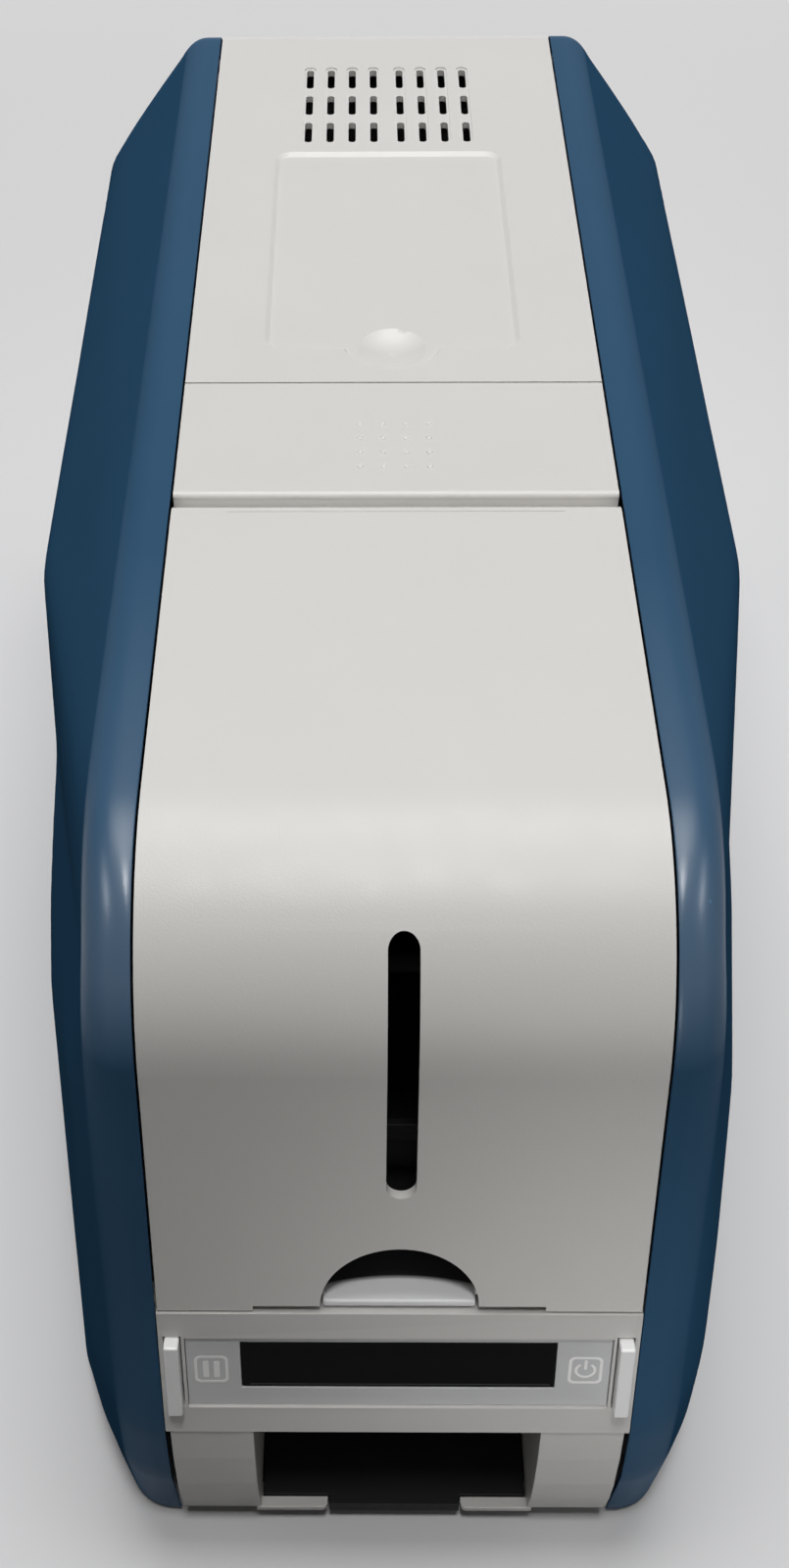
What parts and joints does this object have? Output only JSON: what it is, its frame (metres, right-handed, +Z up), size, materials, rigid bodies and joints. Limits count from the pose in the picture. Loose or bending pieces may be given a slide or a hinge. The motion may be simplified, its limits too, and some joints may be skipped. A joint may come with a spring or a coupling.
{
  "type": "id card printer",
  "caption": "Desktop ID card printer with a hinged hopper cover, a hinged ribbon lid, a front display panel and an open output hopper.",
  "frame": {"origin": "on the ground plane under the middle of the body", "axes": "+X to the machine's right as seen from its front, +Y towards the rear, +Z up"},
  "size_m": [0.1714, 0.3856, 0.2053],
  "materials": {
    "strip_plastic": "warm light grey, fine grain",
    "shell_plastic": "satin blue",
    "bezel_plastic": "satin silver grey",
    "overlay_film": "silver grey film",
    "button_plastic": "milky white",
    "dark_plastic": "black",
    "grey_plastic": "dark grey",
    "steel": "satin",
    "aluminium": "satin",
    "motor_metal": "satin",
    "bronze": "satin",
    "rubber": "matte",
    "cleaning_rubber": "matte blue",
    "gear_plastic": "natural nylon",
    "circuit_board": "solder mask green",
    "display_glass": "black window",
    "ceramic": "fired ceramic",
    "ribbon_film": "dark film roll"
  },
  "bodies": {
    "casing": {"base_pan": "grey_plastic", "shell_left": "shell_plastic", "shell_right": "shell_plastic", "side_frame_left": "steel", "side_frame_right": "steel", "rear_panel": "strip_plastic", "power_inlet": "dark_plastic", "usb_port": "steel", "network_port": "steel", "main_board": "circuit_board", "control_bezel": "bezel_plastic", "display_overlay": "overlay_film", "lcd_glass": "display_glass", "control_board": "circuit_board", "output_hopper": "strip_plastic", "output_tray": "dark_plastic", "output_chute": "dark_plastic", "hopper_floor": "strip_plastic", "input_hopper": "dark_plastic", "card_gate": "steel", "hinge_bridge": "dark_plastic", "cover_hinge_rod": "steel", "lid_hinge_rod": "steel", "roller_bushes": "bronze", "drive_belt": "rubber", "feed_motor": "motor_metal", "pickup_motor": "steel", "fan_housing": "dark_plastic", "rubber_feet": "rubber", "frame_ties": "steel", "card_guide": "dark_plastic"},
    "hopper_cover": {"hopper_cover": "strip_plastic"},
    "lid": {"top_lid": "strip_plastic", "lid_frame": "grey_plastic", "print_head": "ceramic", "head_heatsink": "aluminium", "head_bracket": "steel", "head_springs": "steel", "ribbon_motor": "steel"},
    "ribbon_pinion": {"ribbon_pinion": "gear_plastic"},
    "takeup_spool": {"takeup_spool": "ribbon_film"},
    "supply_spool": {"supply_spool": "ribbon_film"},
    "latch_button": {"latch_button": "strip_plastic"},
    "latch_hooks": {"latch_hooks": "steel"},
    "pause_button": {"pause_button": "button_plastic"},
    "power_button": {"power_button": "button_plastic"},
    "pickup_roller": {"pickup_roller": "rubber"},
    "feed_roller": {"feed_roller": "rubber"},
    "cleaning_roller": {"cleaning_roller": "cleaning_rubber"},
    "platen_roller": {"platen_roller": "rubber"},
    "exit_roller": {"exit_roller": "rubber"},
    "pinch_roller": {"pinch_roller": "rubber"},
    "feed_pinion": {"feed_pinion": "gear_plastic"},
    "pickup_pinion": {"pickup_pinion": "gear_plastic"},
    "fan_rotor": {"fan_rotor": "dark_plastic"},
    "diverter_flap": {"diverter_flap": "grey_plastic"}
  },
  "joints": [
    {"name": "cover_open", "type": "hinge", "parent": "casing", "child": "hopper_cover", "pos_m": [0, -0.05393, 0.18024], "axis": [-1, 0, 0], "range_deg": [0, 65]},
    {"name": "lid_open", "type": "hinge", "parent": "casing", "child": "lid", "pos_m": [0, 0.16254, 0.19731], "axis": [-1, 0, 0], "range_deg": [0, 75]},
    {"name": "latch_press", "type": "hinge", "parent": "lid", "child": "latch_button", "pos_m": [0, -0.01302, 0.18303], "axis": [1, 0, 0], "range_deg": [0, 4], "stiffness_Nm_per_rad": 2},
    {"name": "hook_release", "type": "hinge", "parent": "lid", "child": "latch_hooks", "pos_m": [0, -0.03569, 0.17842], "axis": [1, 0, 0], "range_deg": [0, 14]},
    {"name": "pause_press", "type": "slide", "parent": "casing", "child": "pause_button", "axis": [0, 0.9789, -0.2045], "range_m": [0, 0.001], "stiffness_N_per_m": 400},
    {"name": "power_press", "type": "slide", "parent": "casing", "child": "power_button", "axis": [0, 0.9789, -0.2045], "range_m": [0, 0.001], "stiffness_N_per_m": 400},
    {"name": "flap_swing", "type": "hinge", "parent": "casing", "child": "diverter_flap", "pos_m": [0, -0.066, 0.07897], "axis": [1, 0, 0], "range_deg": [0, 20]},
    {"name": "feed_drive", "type": "hinge", "parent": "casing", "child": "feed_pinion", "pos_m": [0, 0.032, 0.05237], "axis": [1, 0, 0], "continuous": true},
    {"name": "platen_spin", "type": "hinge", "parent": "casing", "child": "platen_roller", "pos_m": [0, 0.032, 0.07797], "axis": [1, 0, 0], "continuous": true},
    {"name": "feed_spin", "type": "hinge", "parent": "casing", "child": "feed_roller", "pos_m": [0, -0.05, 0.07797], "axis": [1, 0, 0], "continuous": true},
    {"name": "exit_spin", "type": "hinge", "parent": "casing", "child": "exit_roller", "pos_m": [0, 0.112, 0.07797], "axis": [1, 0, 0], "continuous": true},
    {"name": "cleaning_spin", "type": "hinge", "parent": "casing", "child": "cleaning_roller", "pos_m": [0, -0.05, 0.09477], "axis": [1, 0, 0], "continuous": true},
    {"name": "pinch_spin", "type": "hinge", "parent": "casing", "child": "pinch_roller", "pos_m": [0, 0.112, 0.09477], "axis": [1, 0, 0], "continuous": true},
    {"name": "pickup_drive", "type": "hinge", "parent": "casing", "child": "pickup_pinion", "pos_m": [0, -0.092, 0.05597], "axis": [1, 0, 0], "continuous": true},
    {"name": "pickup_spin", "type": "hinge", "parent": "casing", "child": "pickup_roller", "pos_m": [0, -0.092, 0.07417], "axis": [1, 0, 0], "continuous": true},
    {"name": "ribbon_drive", "type": "hinge", "parent": "lid", "child": "ribbon_pinion", "pos_m": [0, 0.0044, 0.15645], "axis": [1, 0, 0], "continuous": true},
    {"name": "takeup_spin", "type": "hinge", "parent": "lid", "child": "takeup_spool", "pos_m": [0, -0.008, 0.13497], "axis": [1, 0, 0], "continuous": true},
    {"name": "supply_spin", "type": "hinge", "parent": "lid", "child": "supply_spool", "pos_m": [0, 0.088, 0.13997], "axis": [1, 0, 0], "continuous": true},
    {"name": "fan_spin", "type": "hinge", "parent": "casing", "child": "fan_rotor", "pos_m": [0, 0.17811, 0.13117], "axis": [0, -0.9936, -0.113], "continuous": true}
  ],
  "couplings": [
    {"joint": "hook_release", "follows": "latch_press", "ratio": 3.5},
    {"joint": "platen_spin", "follows": "feed_drive", "ratio": -0.28},
    {"joint": "feed_spin", "follows": "feed_drive", "ratio": -0.28},
    {"joint": "exit_spin", "follows": "feed_drive", "ratio": -0.28},
    {"joint": "cleaning_spin", "follows": "feed_drive", "ratio": 0.36},
    {"joint": "pinch_spin", "follows": "feed_drive", "ratio": 0.36},
    {"joint": "pickup_spin", "follows": "pickup_drive", "ratio": -0.3},
    {"joint": "takeup_spin", "follows": "ribbon_drive", "ratio": -0.24}
  ]
}
